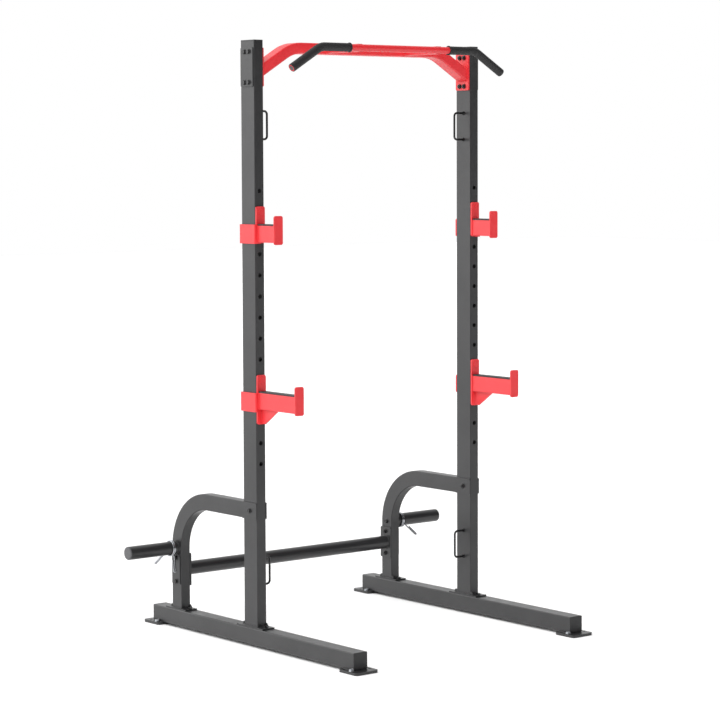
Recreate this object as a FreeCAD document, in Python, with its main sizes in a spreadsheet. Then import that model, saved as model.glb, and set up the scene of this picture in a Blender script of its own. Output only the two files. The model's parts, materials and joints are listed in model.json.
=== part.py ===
import FreeCAD, Part
import math
import os
import re
import Sketcher
from FreeCAD import Placement, Rotation, Vector

# Open squat rack.  Millimetres.  Origin on the floor at the middle of the footprint,
# +X to the right-hand upright, +Y to the rear, +Z up.  The left-hand pieces are modelled
# and the right-hand ones are their mirror image.

doc = FreeCAD.newDocument("squat_rack")

SIZES = {
    # base rails and their feet
    "rail_width": 60, "rail_height": 60, "rail_wall": 3, "rail_corner": 4, "rail_length": 1210,
    "rail_cap_thick": 4, "cap_plug_depth": 22, "cap_plug_wall": 4, "cap_clearance": 0.2,
    "foot_side": 100, "foot_thick": 10, "foot_corner": 12, "foot_centre": 593,
    "anchor_x": 40, "anchor_outer_y": 605, "anchor_inner_y": 565, "anchor_hole": 5.5,
    # uprights
    "upright_x": 509, "upright_y": -3.5, "upright_width": 40, "upright_depth": 80, "upright_wall": 3,
    "upright_corner": 3, "upright_top": 2166, "upright_cap_thick": 5, "upright_plug_depth": 14,
    "pin_hole": 8, "pin_hole_pitch": 75, "pin_hole_count": 14, "pin_hole_lowest": 662,
    "base_plate_thick": 5, "base_plate_width": 54, "upright_base_overhang": 38, "post_base_overhang": 33,
    "base_bolt_gap": 22, "gusset_long": 12, "gusset_toe": 3, "gusset_thick": 4,
    # rear supports
    "post_y": 462, "post_width": 40, "post_depth": 60, "post_wall": 2.5, "post_corner": 3,
    "post_straight": 225, "post_bend": 192, "yoke_thick": 4, "yoke_height": 60, "yoke_corner": 4,
    # rear crossbar
    "crossbar_z": 219, "crossbar_outer": 25.4, "crossbar_wall": 3,
    "crossbar_flange_depth": 60, "crossbar_flange_height": 122, "crossbar_flange_thick": 6,
    "crossbar_plate_depth": 50, "crossbar_plate_height": 108, "crossbar_bolt_gap": 44, "plate_corner": 5,
    # plate-storage pegs and spring clips
    "peg_z": 302, "peg_sleeve": 24.75, "peg_seat": 24, "peg_bore": 21.5, "peg_length": 214,
    "peg_seat_length": 40, "peg_flange": 27.5, "peg_flange_thick": 5, "peg_root_thick": 25,
    "peg_bolt_depth": 24, "peg_cap_thick": 6, "peg_cap_dome": 4, "peg_plug_depth": 20, "peg_plug_wall": 3,
    "clip_wire": 2.75, "clip_inner": 25.2, "clip_pitch": 6.2, "clip_x": 20, "clip_turns": 2,
    "clip_bend": 6, "clip_neck": 4, "clip_sweep": 12, "clip_handle": 48, "clip_return": 40, "clip_loop": 4,
    "clip_inner_lean": 4, "clip_outer_lean": 16,
    # pull-up beam
    "beam_drop": 40, "beam_depth": 60, "beam_wall": 3, "beam_corner": 6, "beam_z": 2146,
    "beam_bend_x": 346, "beam_bend": 140, "beam_slope": 31,
    "top_plate_depth": 72, "top_plate_height": 138, "top_plate_thick": 6, "top_plate_z": 2075,
    "top_bolt_y": 12.5, "top_bolt_z": 54,
    # pull-up bar and grips
    "bar_y": -213, "bar_z": 2144, "bar_outer": 12.5, "bar_wall": 2.5, "bar_bend_x": 362, "bar_bend": 65,
    "bar_end_x": 492, "bar_plug_length": 14,
    "grip_outer": 15.5, "grip_start_x": 231, "grip_collar": 17.5, "grip_collar_length": 4,
    "standoff_x": 185, "standoff_width": 25, "standoff_height": 28, "standoff_wall": 2.5,
    # hooks and spotter arms
    "hook_plate": 38, "hook_thick": 6, "hook_gap": 0.5, "hook_pin": 7, "hook_pin_tail": 12,
    "hook_above_pin": 20, "arm_width": 30, "arm_height": 60, "arm_wall": 2.5, "pad_thick": 5,
    "band_height": 68, "band_below_pin": 44, "end_plate_height": 102, "end_plate_thick": 5,
    "end_plate_below": 7, "hook_corner": 7,
    "j_pin_z": 1562, "j_plate_below": 110, "j_arm_below": 47, "j_arm_length": 100,
    "spotter_pin_z": 962, "spotter_plate_below": 156, "spotter_arm_below": 42, "spotter_arm_length": 216,
    "spotter_gusset_long": 99, "spotter_gusset_toe": 22, "spotter_gusset_thick": 5,
    # band loops
    "loop_wire": 4, "loop_reach": 49, "loop_pitch": 100, "loop_corner": 12, "loop_high_z": 1870,
    "loop_low_z": 270, "loop_nut": 7.5, "loop_nut_thick": 6,
    # hexagon bolts: shank radius, clearance-hole radius, head radius across corners, head height
    "bolt": 5, "bolt_hole": 5.3, "bolt_head": 9.2, "bolt_head_high": 6.4, "bolt_tail": 4, "nut_slack": 0.1,
    "anchor_washer": 9.8, "washer_thick": 2,
}

sheet = doc.addObject("Spreadsheet::Sheet", "dims")
for row, (alias, size) in enumerate(SIZES.items(), start=1):
    sheet.set(f"A{row}", alias)
    sheet.set(f"B{row}", str(size))
    sheet.setAlias(f"B{row}", alias)
scratch = doc.addObject("Spreadsheet::Sheet", "scratch")
doc.recompute()

AXIS = {"X": Vector(1, 0, 0), "Y": Vector(0, 1, 0), "Z": Vector(0, 0, 1)}
NAMES = re.compile(r"\b(" + "|".join(sorted(SIZES, key=len, reverse=True)) + r")\b")
NODES = []

# Derived positions used by more than one piece, as formulas of the sheet's sizes.
RAIL_TOP = "(foot_thick + rail_height)"
PLATE_TOP = f"({RAIL_TOP} + base_plate_thick)"
LEFT = "(0 - upright_x)"
UPRIGHT_FRONT = "(upright_y - upright_depth / 2)"
UPRIGHT_REAR = "(upright_y + upright_depth / 2)"


def formula(text):
    """A FreeCAD expression in which the sheet's names are spelt out."""
    return NAMES.sub(r"dims.\1", str(text))


def number(text):
    """The value of a formula, worked out in the spare sheet."""
    scratch.set("A1", f"={formula(text)}")
    scratch.recompute()
    value = scratch.get("A1")
    return float(getattr(value, "Value", value))


def bind(item, **sizes):
    for prop, text in sizes.items():
        item.setExpression(prop, formula(text))


def put(item, x, y, z, turn=None):
    if turn is not None:
        item.Placement = Placement(Vector(), turn)
    for axis, text in zip("xyz", (x, y, z)):
        item.setExpression(f"Placement.Base.{axis}", formula(text))


def along(axis):
    return Rotation(AXIS["Z"], AXIS[axis])


# ---- building blocks -------------------------------------------------------------------------

def new_body(name):
    body = doc.addObject("PartDesign::Body", name)
    body.Label = name
    return body


def slab(body, name, size, centre, cut=False):
    """Box given by its size and centre, added to or cut from the body."""
    kind = "PartDesign::SubtractiveBox" if cut else "PartDesign::AdditiveBox"
    item = body.newObject(kind, f"{body.Name}_{name}")
    bind(item, Length=size[0], Width=size[1], Height=size[2])
    put(item, *(f"({c}) - ({s}) / 2" for c, s in zip(centre, size)))
    return item


def rod(body, name, radius, length, start, axis, cut=False):
    """Cylinder from its start point along +X, +Y or +Z, added to or cut from the body."""
    kind = "PartDesign::SubtractiveCylinder" if cut else "PartDesign::AdditiveCylinder"
    item = body.newObject(kind, f"{body.Name}_{name}")
    bind(item, Radius=radius, Height=length)
    put(item, *start, turn=along(axis))
    return item


def soften(body, name, radius, axis, where=lambda middle: True):
    """Round the straight edges of the body's tip that run along one axis."""
    doc.recompute()
    tip = body.Tip
    chosen = []
    for index, edge in enumerate(tip.Shape.Edges, start=1):
        if edge.Curve.TypeId != "Part::GeomLine":
            continue
        direction = edge.Curve.Direction
        if abs(direction.dot(AXIS[axis])) > 0.999 and where(edge.CenterOfMass):
            chosen.append(f"Edge{index}")
    item = body.newObject("PartDesign::Fillet", f"{body.Name}_{name}")
    item.Base = (tip, chosen)
    bind(item, Radius=radius)
    return item


def plane_of(body, role):
    return next(item for item in body.Origin.OriginFeatures if item.Role == role)


def new_sketch(body, name, role):
    sketch = body.newObject("Sketcher::SketchObject", f"{body.Name}_{name}")
    sketch.AttachmentSupport = (plane_of(body, role), [""])
    sketch.MapMode = "FlatFace"
    return sketch


def name_size(sketch, index, name, text):
    sketch.renameConstraint(index, name)
    sketch.setExpression(f"Constraints.{name}", formula(text))


def rounded_profile(body, name, role, across, up, corner):
    """Rectangle with rounded corners, centred on the sketch's origin."""
    sketch = new_sketch(body, name, role)
    w, h, r = number(across) / 2, number(up) / 2, number(corner)
    corners = [(w, -h), (w, h), (-w, h), (-w, -h)]
    for k, (cx, cy) in enumerate(corners):
        ix, iy = cx - math.copysign(r, cx), cy - math.copysign(r, cy)
        begin = (k - 1) * math.pi / 2
        circle = Part.Circle(Vector(ix, iy, 0), AXIS["Z"], r)
        sketch.addGeometry(Part.ArcOfCircle(circle, begin, begin + math.pi / 2))
    for k in range(4):
        start = sketch.Geometry[k].EndPoint
        end = sketch.Geometry[(k + 1) % 4].StartPoint
        sketch.addGeometry(Part.LineSegment(start, end))
    for k in range(4):
        sketch.addConstraint(Sketcher.Constraint("Tangent", k, 2, 4 + k, 1))
        sketch.addConstraint(Sketcher.Constraint("Tangent", 4 + k, 2, (k + 1) % 4, 1))
    sketch.addConstraint(Sketcher.Constraint("Vertical", 4))
    sketch.addConstraint(Sketcher.Constraint("Horizontal", 5))
    sketch.addConstraint(Sketcher.Constraint("Vertical", 6))
    sketch.addConstraint(Sketcher.Constraint("Horizontal", 7))
    for k in (1, 2, 3):
        sketch.addConstraint(Sketcher.Constraint("Equal", 0, k))
    sketch.addConstraint(Sketcher.Constraint("Symmetric", 0, 3, 2, 3, -1, 1))
    name_size(sketch, sketch.addConstraint(Sketcher.Constraint("Radius", 0, r)), "corner", corner)
    spread_x = sketch.addConstraint(Sketcher.Constraint("DistanceX", 2, 3, 0, 3, 2 * (w - r)))
    name_size(sketch, spread_x, "spread_x", f"({across}) - 2 * ({corner})")
    spread_y = sketch.addConstraint(Sketcher.Constraint("DistanceY", 0, 3, 2, 3, 2 * (h - r)))
    name_size(sketch, spread_y, "spread_y", f"({up}) - 2 * ({corner})")
    return sketch


def round_profile(body, name, role, radius):
    sketch = new_sketch(body, name, role)
    sketch.addGeometry(Part.Circle(Vector(), AXIS["Z"], number(radius)))
    sketch.addConstraint(Sketcher.Constraint("Coincident", 0, 3, -1, 1))
    index = sketch.addConstraint(Sketcher.Constraint("Radius", 0, number(radius)))
    name_size(sketch, index, "radius", radius)
    return sketch


def bent_line(body, name, role, first, heading, radius, turn, second):
    """Path from the origin: a straight, an arc that turns by the given angle, a straight."""
    sketch = new_sketch(body, name, role)
    a, r, b = number(first), number(radius), number(second)
    swing = math.radians(abs(turn))
    hand = math.copysign(1, turn)
    head = Vector(math.cos(math.radians(heading)), math.sin(math.radians(heading)), 0)
    side = Vector(-head.y, head.x, 0) * hand
    knee = head * a
    centre = knee + side * r
    finish = centre - side * r * math.cos(swing) + head * r * math.sin(swing)
    half = centre - side * r * math.cos(swing / 2) + head * r * math.sin(swing / 2)
    out = head * math.cos(swing) + side * math.sin(swing)
    sketch.addGeometry(Part.LineSegment(Vector(), knee))
    sketch.addGeometry(Part.Arc(knee, half, finish))
    sketch.addGeometry(Part.LineSegment(finish, finish + out * b))
    at_knee, at_finish = (1, 2) if hand > 0 else (2, 1)
    sketch.addConstraint(Sketcher.Constraint("Coincident", 0, 1, -1, 1))
    sketch.addConstraint(Sketcher.Constraint("Horizontal" if heading == 0 else "Vertical", 0))
    sketch.addConstraint(Sketcher.Constraint("Tangent", 0, 2, 1, at_knee))
    sketch.addConstraint(Sketcher.Constraint("Tangent", 1, at_finish, 2, 1))
    name_size(sketch, sketch.addConstraint(Sketcher.Constraint("Distance", 0, a)), "first", first)
    name_size(sketch, sketch.addConstraint(Sketcher.Constraint("Radius", 1, r)), "radius", radius)
    name_size(sketch, sketch.addConstraint(Sketcher.Constraint("Distance", 2, b)), "second", second)
    aim = sketch.addConstraint(Sketcher.Constraint("Angle", 2, math.radians(heading + turn)))
    sketch.renameConstraint(aim, "aim")
    return sketch


def sweep(body, name, profile, path, cut=False):
    kind = "PartDesign::SubtractivePipe" if cut else "PartDesign::AdditivePipe"
    item = body.newObject(kind, f"{body.Name}_{name}")
    item.Profile = (profile, [""])
    item.Spine = (path, ["Edge1", "Edge2", "Edge3"])
    return item


# Loose Part shapes, used for the groups of fasteners.

def hexagon(name, radius, height, start, axis):
    item = doc.addObject("Part::Prism", name)
    item.Polygon = 6
    bind(item, Circumradius=radius, Height=height)
    put(item, *start, turn=along(axis))
    return item


def bar(name, radius, height, start, axis):
    item = doc.addObject("Part::Cylinder", name)
    bind(item, Radius=radius, Height=height)
    put(item, *start, turn=along(axis))
    return item


def joined(name, shapes):
    item = doc.addObject("Part::MultiFuse", name)
    item.Shapes = shapes
    item.Refine = True
    return item


def bored(name, shape, tool):
    item = doc.addObject("Part::Cut", name)
    item.Base, item.Tool = shape, tool
    return item


def group(name, members):
    item = doc.addObject("Part::Compound", name)
    item.Links = members
    return node(item, name)


def node(item, name):
    """Register a finished piece under the name its file gets."""
    item.Label = name
    NODES.append(item)
    return item


def mirrored(source, name):
    """The right-hand twin of a left-hand piece."""
    item = doc.addObject("Part::Mirroring", name)
    item.Source = source
    item.Normal = AXIS["X"]
    return node(item, name)


def bolt_and_nut(name, axis, head_at, across, grip, nut=True):
    """Hexagon bolt along +axis from the face its head rests on, with a nut after the grip length.

    head_at is the coordinate of that face along the axis, across the two other coordinates.
    """
    def point(depth):
        place = list(across)
        place.insert("XYZ".index(axis), depth)
        return place
    tail = "bolt_head_high + bolt_tail" if nut else "0"
    crown = point(f"({head_at}) - bolt_head_high")
    head = hexagon(f"{name}_head", "bolt_head", "bolt_head_high", crown, axis)
    shank = bar(f"{name}_shank", "bolt", f"({grip}) + {tail}", point(head_at), axis)
    parts = [joined(f"{name}_screw", [head, shank])]
    if nut:
        nut_at = f"({head_at}) + ({grip})"
        blank = hexagon(f"{name}_blank", "bolt_head", "bolt_head_high", point(nut_at), axis)
        thread = bar(f"{name}_thread", "bolt + nut_slack", "bolt_head_high", point(nut_at), axis)
        parts.append(bored(f"{name}_nut", blank, thread))
    return parts


# ---- base rail -------------------------------------------------------------------------------

def base_rail():
    body = new_body("left_base_rail")
    tube_length = "(rail_length - 2 * rail_cap_thick)"
    middle = (LEFT, "0", "foot_thick + rail_height / 2")
    slab(body, "tube", ("rail_width", tube_length, "rail_height"), middle)
    soften(body, "corners", "rail_corner", "Y")
    inside = ("rail_width - 2 * rail_wall", f"{tube_length} + 2", "rail_height - 2 * rail_wall")
    slab(body, "hollow", inside, middle, cut=True)
    for end, sign in (("front", "-1"), ("rear", "1")):
        centre = (LEFT, f"{sign} * foot_centre", "foot_thick / 2")
        slab(body, f"{end}_foot", ("foot_side", "foot_side", "foot_thick"), centre)
    low = number("foot_thick")
    soften(body, "foot_corners", "foot_corner", "Z", lambda middle: middle.z < low)
    anchor_rows = ("-anchor_outer_y", "-anchor_inner_y", "anchor_inner_y", "anchor_outer_y")
    for row, y in enumerate(anchor_rows, start=1):
        for edge, way in (("outer", "-"), ("inner", "+")):
            start = (f"{LEFT} {way} anchor_x", y, "-1")
            rod(body, f"{edge}_anchor_{row}", "anchor_hole", "foot_thick + 2", start, "Z", cut=True)
    drill_base_bolts(body, "upright", "upright_y", "upright_depth")
    drill_base_bolts(body, "post", "post_y", "post_depth")
    return node(body, "left_base_rail")


def drill_base_bolts(body, label, centre, depth):
    """Clearance holes in front of and behind a column, through the rail's upper wall."""
    for end, sign in (("front", "-1"), ("rear", "1")):
        start = (LEFT, f"{centre} + {sign} * ({depth} / 2 + base_bolt_gap)", f"{RAIL_TOP} - rail_wall - 1")
        rod(body, f"{label}_{end}_bolt", "bolt_hole", "rail_wall + 2", start, "Z", cut=True)


def rail_cap(end, sign):
    body = new_body(f"left_rail_{end}_cap")
    height = "foot_thick + rail_height / 2"
    face_y = f"{sign} * (rail_length - rail_cap_thick) / 2"
    slab(body, "face", ("rail_width", "rail_cap_thick", "rail_height"), (LEFT, face_y, height))
    soften(body, "corners", "rail_corner", "Y")
    plug_y = f"{sign} * (rail_length / 2 - rail_cap_thick - cap_plug_depth / 2)"
    slack = "2 * (rail_wall + cap_clearance)"
    plug = (f"rail_width - {slack}", "cap_plug_depth", f"rail_height - {slack}")
    slab(body, "plug", plug, (LEFT, plug_y, height))
    hollow = (f"rail_width - {slack} - 2 * cap_plug_wall", "cap_plug_depth",
              f"rail_height - {slack} - 2 * cap_plug_wall")
    slab(body, "hollow", hollow, (LEFT, f"{plug_y} - {sign} * 0.5", height), cut=True)
    return node(body, f"left_rail_{end}_cap")


# ---- columns ---------------------------------------------------------------------------------

def base_plate_and_gussets(body, centre, depth, width, overhang):
    """Bolted foot of a column, with a gusset at the inner edge of its front and of its rear face."""
    size = ("base_plate_width", f"{depth} + 2 * {overhang}", "base_plate_thick")
    slab(body, "foot", size, (LEFT, centre, f"{RAIL_TOP} + base_plate_thick / 2"))
    low, high, toe = number(PLATE_TOP), number(f"{PLATE_TOP} + gusset_long"), number("gusset_toe")
    for end, sign in (("front", -1), ("rear", 1)):
        face = number(f"{centre} + {sign} * {depth} / 2")
        tip = number(f"{centre} + {sign} * ({depth} / 2 + gusset_long)")
        outline = ((face - sign, low - 1), (tip, low - 1), (tip, low + toe), (face + sign * toe, high),
                   (face - sign, high))
        points = [Vector(y, z, 0) for y, z in outline]
        sketch = new_sketch(body, f"{end}_gusset_outline", "YZ_Plane")
        for a, b in zip(points, points[1:] + points[:1]):
            sketch.addGeometry(Part.LineSegment(a, b))
        sketch.setExpression("AttachmentOffset.Base.z", formula(f"{LEFT} + {width} / 2 - gusset_thick"))
        pad = body.newObject("PartDesign::Pad", f"{body.Name}_{end}_gusset")
        pad.Profile = sketch
        bind(pad, Length="gusset_thick")
        start = (LEFT, f"{centre} + {sign} * ({depth} / 2 + base_bolt_gap)", f"{RAIL_TOP} - 1")
        rod(body, f"{end}_foot_hole", "bolt_hole", "base_plate_thick + 2", start, "Z", cut=True)


def upright():
    body = new_body("left_upright")
    length = f"(upright_top - {PLATE_TOP})"
    middle = (LEFT, "upright_y", f"{PLATE_TOP} + {length} / 2")
    slab(body, "tube", ("upright_width", "upright_depth", length), middle)
    soften(body, "corners", "upright_corner", "Z")
    inside = ("upright_width - 2 * upright_wall", "upright_depth - 2 * upright_wall", f"{length} + 2")
    slab(body, "hollow", inside, middle, cut=True)
    base_plate_and_gussets(body, "upright_y", "upright_depth", "upright_width", "upright_base_overhang")
    start = (LEFT, f"{UPRIGHT_FRONT} - 1", "pin_hole_lowest")
    hole = rod(body, "pin_hole", "pin_hole", "upright_depth + 2", start, "Y", cut=True)
    row = body.newObject("PartDesign::LinearPattern", "left_upright_pin_holes")
    row.Originals = [hole]
    row.Direction = (plane_of(body, "Z_Axis"), [""])
    bind(row, Length="pin_hole_pitch * (pin_hole_count - 1)", Occurrences="pin_hole_count")
    body.Tip = row
    across = f"{LEFT} - upright_width / 2 - 1"
    for k, (sy, sz) in enumerate(((-1, -1), (1, -1), (-1, 1), (1, 1)), start=1):
        start = (across, f"upright_y + {sy} * top_bolt_y", f"top_plate_z + {sz} * top_bolt_z")
        rod(body, f"top_bolt_{k}", "bolt_hole", "upright_width + 2", start, "X", cut=True)
    yoke = (across, "upright_y", f"{PLATE_TOP} + post_straight + post_bend")
    rod(body, "yoke_bolt", "bolt_hole", "upright_width + 2", yoke, "X", cut=True)
    for label, height in (("high", "loop_high_z"), ("low", "loop_low_z")):
        for sign in (-1, 1):
            start = (LEFT, "upright_y", f"{height} + {sign} * loop_pitch / 2")
            name = f"{label}_loop_{'top' if sign > 0 else 'bottom'}"
            rod(body, name, "loop_wire + 0.2", "upright_width / 2 + 1", start, "X", cut=True)
    return node(body, "left_upright")


def upright_cap():
    body = new_body("left_upright_cap")
    top = (LEFT, "upright_y", "upright_top + upright_cap_thick / 2")
    slab(body, "face", ("upright_width", "upright_depth", "upright_cap_thick"), top)
    soften(body, "corners", "upright_corner", "Z")
    slack = "2 * (upright_wall + cap_clearance)"
    depth = "upright_plug_depth"
    plug = (f"upright_width - {slack}", f"upright_depth - {slack}", depth)
    slab(body, "plug", plug, (LEFT, "upright_y", f"upright_top - {depth} / 2"))
    hollow = (f"upright_width - {slack} - 2 * cap_plug_wall",
              f"upright_depth - {slack} - 2 * cap_plug_wall", depth)
    slab(body, "hollow", hollow, (LEFT, "upright_y", f"upright_top - {depth} / 2 - 0.5"), cut=True)
    return node(body, "left_upright_cap")


def rear_support():
    body = new_body("left_rear_support")
    leg = f"post_y - post_bend - ({UPRIGHT_REAR} + yoke_thick)"
    outer = rounded_profile(body, "outline", "XY_Plane", "post_width", "post_depth", "post_corner")
    inner = rounded_profile(body, "bore_outline", "XY_Plane", "post_width - 2 * post_wall",
                            "post_depth - 2 * post_wall", "post_corner - post_wall")
    path = bent_line(body, "path", "YZ_Plane", "post_straight", 90, "post_bend", 90, leg)
    for sketch, away in ((outer, (LEFT, "post_y", PLATE_TOP)), (inner, (LEFT, "post_y", PLATE_TOP)),
                         (path, ("post_y", PLATE_TOP, LEFT))):
        for axis, text in zip("xyz", away):
            sketch.setExpression(f"AttachmentOffset.Base.{axis}", formula(text))
    sweep(body, "tube", outer, path)
    sweep(body, "bore", inner, path, cut=True)
    base_plate_and_gussets(body, "post_y", "post_depth", "post_width", "post_base_overhang")
    height = f"{PLATE_TOP} + post_straight + post_bend"
    back = ("upright_width + 2 * yoke_thick", "yoke_thick", "yoke_height")
    slab(body, "yoke_back", back, (LEFT, f"{UPRIGHT_REAR} + yoke_thick / 2", height))
    for edge, way in (("outer", -1), ("inner", 1)):
        cheek = ("yoke_thick", "upright_depth + 1", "yoke_height")
        centre = (f"{LEFT} + {way} * (upright_width + yoke_thick) / 2", "upright_y + 0.5", height)
        slab(body, f"yoke_{edge}", cheek, centre)
    front = number(UPRIGHT_FRONT)
    soften(body, "yoke_corners", "yoke_corner", "X", lambda middle: abs(middle.y - front) < 0.01)
    start = (f"{LEFT} - upright_width / 2 - yoke_thick - 1", "upright_y", height)
    rod(body, "yoke_bolt", "bolt_hole", "upright_width + 2 * yoke_thick + 2", start, "X", cut=True)
    across = f"{LEFT} - post_width / 2 - 1"
    for label, height in (("upper", "crossbar_z + crossbar_bolt_gap"),
                          ("lower", "crossbar_z - crossbar_bolt_gap"), ("peg", "peg_z")):
        rod(body, f"{label}_bolt", "bolt_hole", "post_width + 2", (across, "post_y", height), "X", cut=True)
    return node(body, "left_rear_support")


def yoke_bolt():
    head_at = f"{LEFT} - upright_width / 2 - yoke_thick"
    across = ("upright_y", f"{PLATE_TOP} + post_straight + post_bend")
    return group("left_yoke_bolt", bolt_and_nut("left_yoke", "X", head_at, across,
                                                "upright_width + 2 * yoke_thick"))


def base_bolts(label, centre, depth):
    """Short bolts that hold a column to the rail, their heads on the base plate."""
    members = []
    for end, sign in (("front", -1), ("rear", 1)):
        name = f"left_{label}_{end}_base"
        x, y = LEFT, f"{centre} + {sign} * ({depth} / 2 + base_bolt_gap)"
        head = hexagon(f"{name}_head", "bolt_head", "bolt_head_high", (x, y, PLATE_TOP), "Z")
        deep = "base_plate_thick + rail_wall + bolt_head_high + bolt_tail"
        shank = bar(f"{name}_shank", "bolt", f"{deep} + 1", (x, y, f"{PLATE_TOP} - ({deep})"), "Z")
        nut_z = f"{RAIL_TOP} - rail_wall - bolt_head_high"
        blank = hexagon(f"{name}_blank", "bolt_head", "bolt_head_high", (x, y, nut_z), "Z")
        thread = bar(f"{name}_thread", "bolt + nut_slack", "bolt_head_high", (x, y, nut_z), "Z")
        members += [joined(f"{name}_screw", [head, shank]), bored(f"{name}_nut", blank, thread)]
    return group(f"left_{label}_base_bolts", members)


def anchor_bolts(side, x):
    """Zinc floor bolt and washer in one left-hand hole of each foot plate of a rail."""
    members = []
    for end, y in (("front", "-anchor_outer_y"), ("rear", "anchor_inner_y")):
        name = f"{side}_{end}_anchor"
        place = (f"({x}) - anchor_x", y)
        disc = bar(f"{name}_disc", "anchor_washer", "washer_thick", (*place, "foot_thick"), "Z")
        eye = bar(f"{name}_eye", "bolt + nut_slack", "washer_thick", (*place, "foot_thick"), "Z")
        seat = (*place, "foot_thick + washer_thick")
        head = hexagon(f"{name}_head", "bolt_head", "bolt_head_high", seat, "Z")
        shank = bar(f"{name}_shank", "bolt", "foot_thick + washer_thick + 0.8", (*place, "0.2"), "Z")
        members += [bored(f"{name}_washer", disc, eye), joined(f"{name}_screw", [head, shank])]
    return group(f"{side}_anchor_bolts", members)


# ---- rear crossbar ---------------------------------------------------------------------------

def rear_crossbar():
    half = new_body("crossbar_half")
    reach = "(upright_x - post_width / 2 - crossbar_flange_thick)"
    rod(half, "tube", "crossbar_outer", f"{reach} + 1", (f"0 - {reach} - 1", "post_y", "crossbar_z"), "X")
    plate = ("crossbar_flange_thick", "crossbar_flange_depth", "crossbar_flange_height")
    centre = (f"0 - {reach} - crossbar_flange_thick / 2", "post_y", "crossbar_z")
    slab(half, "flange", plate, centre)
    soften(half, "corners", "plate_corner", "X")
    rod(half, "bore", "crossbar_outer - crossbar_wall", reach, (f"0 - {reach}", "post_y", "crossbar_z"), "X",
        cut=True)
    for label, sign in (("upper", 1), ("lower", -1)):
        start = (f"0 - {reach} - crossbar_flange_thick - 1", "post_y",
                 f"crossbar_z + {sign} * crossbar_bolt_gap")
        rod(half, f"{label}_hole", "bolt_hole", "crossbar_flange_thick + 2", start, "X", cut=True)
    twin = doc.addObject("Part::Mirroring", "crossbar_other_half")
    twin.Source, twin.Normal = half, AXIS["X"]
    return node(joined("rear_crossbar", [half, twin]), "rear_crossbar")


def crossbar_plate():
    body = new_body("left_crossbar_plate")
    plate = ("yoke_thick", "crossbar_plate_depth", "crossbar_plate_height")
    x = f"{LEFT} - post_width / 2 - yoke_thick / 2"
    slab(body, "plate", plate, (x, "post_y", "crossbar_z"))
    soften(body, "corners", "plate_corner", "X")
    for label, sign in (("upper", 1), ("lower", -1)):
        start = (f"{x} - yoke_thick", "post_y", f"crossbar_z + {sign} * crossbar_bolt_gap")
        rod(body, f"{label}_hole", "bolt_hole", "2 * yoke_thick", start, "X", cut=True)
    return node(body, "left_crossbar_plate")


def crossbar_bolts():
    members = []
    for label, sign in (("upper", 1), ("lower", -1)):
        across = ("post_y", f"crossbar_z + {sign} * crossbar_bolt_gap")
        head_at = f"{LEFT} - post_width / 2 - yoke_thick"
        members += bolt_and_nut(f"left_crossbar_{label}", "X", head_at, across,
                                "yoke_thick + post_width + crossbar_flange_thick")
    return group("left_crossbar_bolts", members)


# ---- plate-storage peg -----------------------------------------------------------------------

PEG_ROOT = f"({LEFT} - post_width / 2)"


def plate_peg():
    body = new_body("left_plate_peg")
    axis_at = ("post_y", "peg_z")
    mouth = (f"{PEG_ROOT} - peg_length", *axis_at)
    rod(body, "flange", "peg_flange", "peg_flange_thick", (f"{PEG_ROOT} - peg_flange_thick", *axis_at), "X")
    rod(body, "seat", "peg_seat", "peg_seat_length", (f"{PEG_ROOT} - peg_seat_length", *axis_at), "X")
    rod(body, "sleeve", "peg_sleeve", "peg_length - peg_seat_length", mouth, "X")
    rod(body, "bore", "peg_bore", "peg_length - peg_root_thick", mouth, "X", cut=True)
    thread = (f"{PEG_ROOT} - peg_root_thick - 1", *axis_at)
    rod(body, "thread", "bolt_hole", "peg_root_thick + 2", thread, "X", cut=True)
    return node(body, "left_plate_peg")


def peg_cap():
    body = new_body("left_peg_cap")
    axis_at = ("post_y", "peg_z")
    mouth = f"{PEG_ROOT} - peg_length"
    rod(body, "face", "peg_sleeve - 0.3", "peg_cap_thick", (f"{mouth} - peg_cap_thick", *axis_at), "X")
    rod(body, "plug", "peg_bore - cap_clearance", "peg_plug_depth", (mouth, *axis_at), "X")
    inside = (f"{mouth} + 1.5", *axis_at)
    rod(body, "hollow", "peg_bore - peg_plug_wall", "peg_plug_depth", inside, "X", cut=True)
    doc.recompute()
    tip, face_x = body.Tip, number(f"{PEG_ROOT} - peg_length - peg_cap_thick")
    rim = [f"Edge{k}" for k, edge in enumerate(tip.Shape.Edges, start=1)
           if abs(edge.CenterOfMass.x - face_x) < 0.01]
    dome = body.newObject("PartDesign::Fillet", "left_peg_cap_rim")
    dome.Base = (tip, rim)
    bind(dome, Radius="peg_cap_dome")
    return node(body, "left_peg_cap")


def peg_bolt():
    """Bolt from the post's inner face into the peg's root."""
    head_at = (f"{LEFT} + post_width / 2", "post_y", "peg_z")
    head = hexagon("left_peg_bolt_head", "bolt_head", "bolt_head_high", head_at, "X")
    shank = bar("left_peg_bolt_shank", "bolt", "post_width + peg_bolt_depth + 1",
                (f"{PEG_ROOT} - peg_bolt_depth", "post_y", "peg_z"), "X")
    return node(joined("left_peg_bolt", [head, shank]), "left_peg_bolt")


def arc_edge(centre, start, end_direction, radius, turn=90):
    """Arc that leaves the start point at a right angle to the spoke and turns towards end_direction."""
    spoke = (start - centre).normalize()

    def at(angle):
        angle = math.radians(angle)
        return centre + spoke * radius * math.cos(angle) + end_direction * radius * math.sin(angle)
    return Part.Arc(start, at(turn / 2), at(turn)).toShape(), at(turn)


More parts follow.
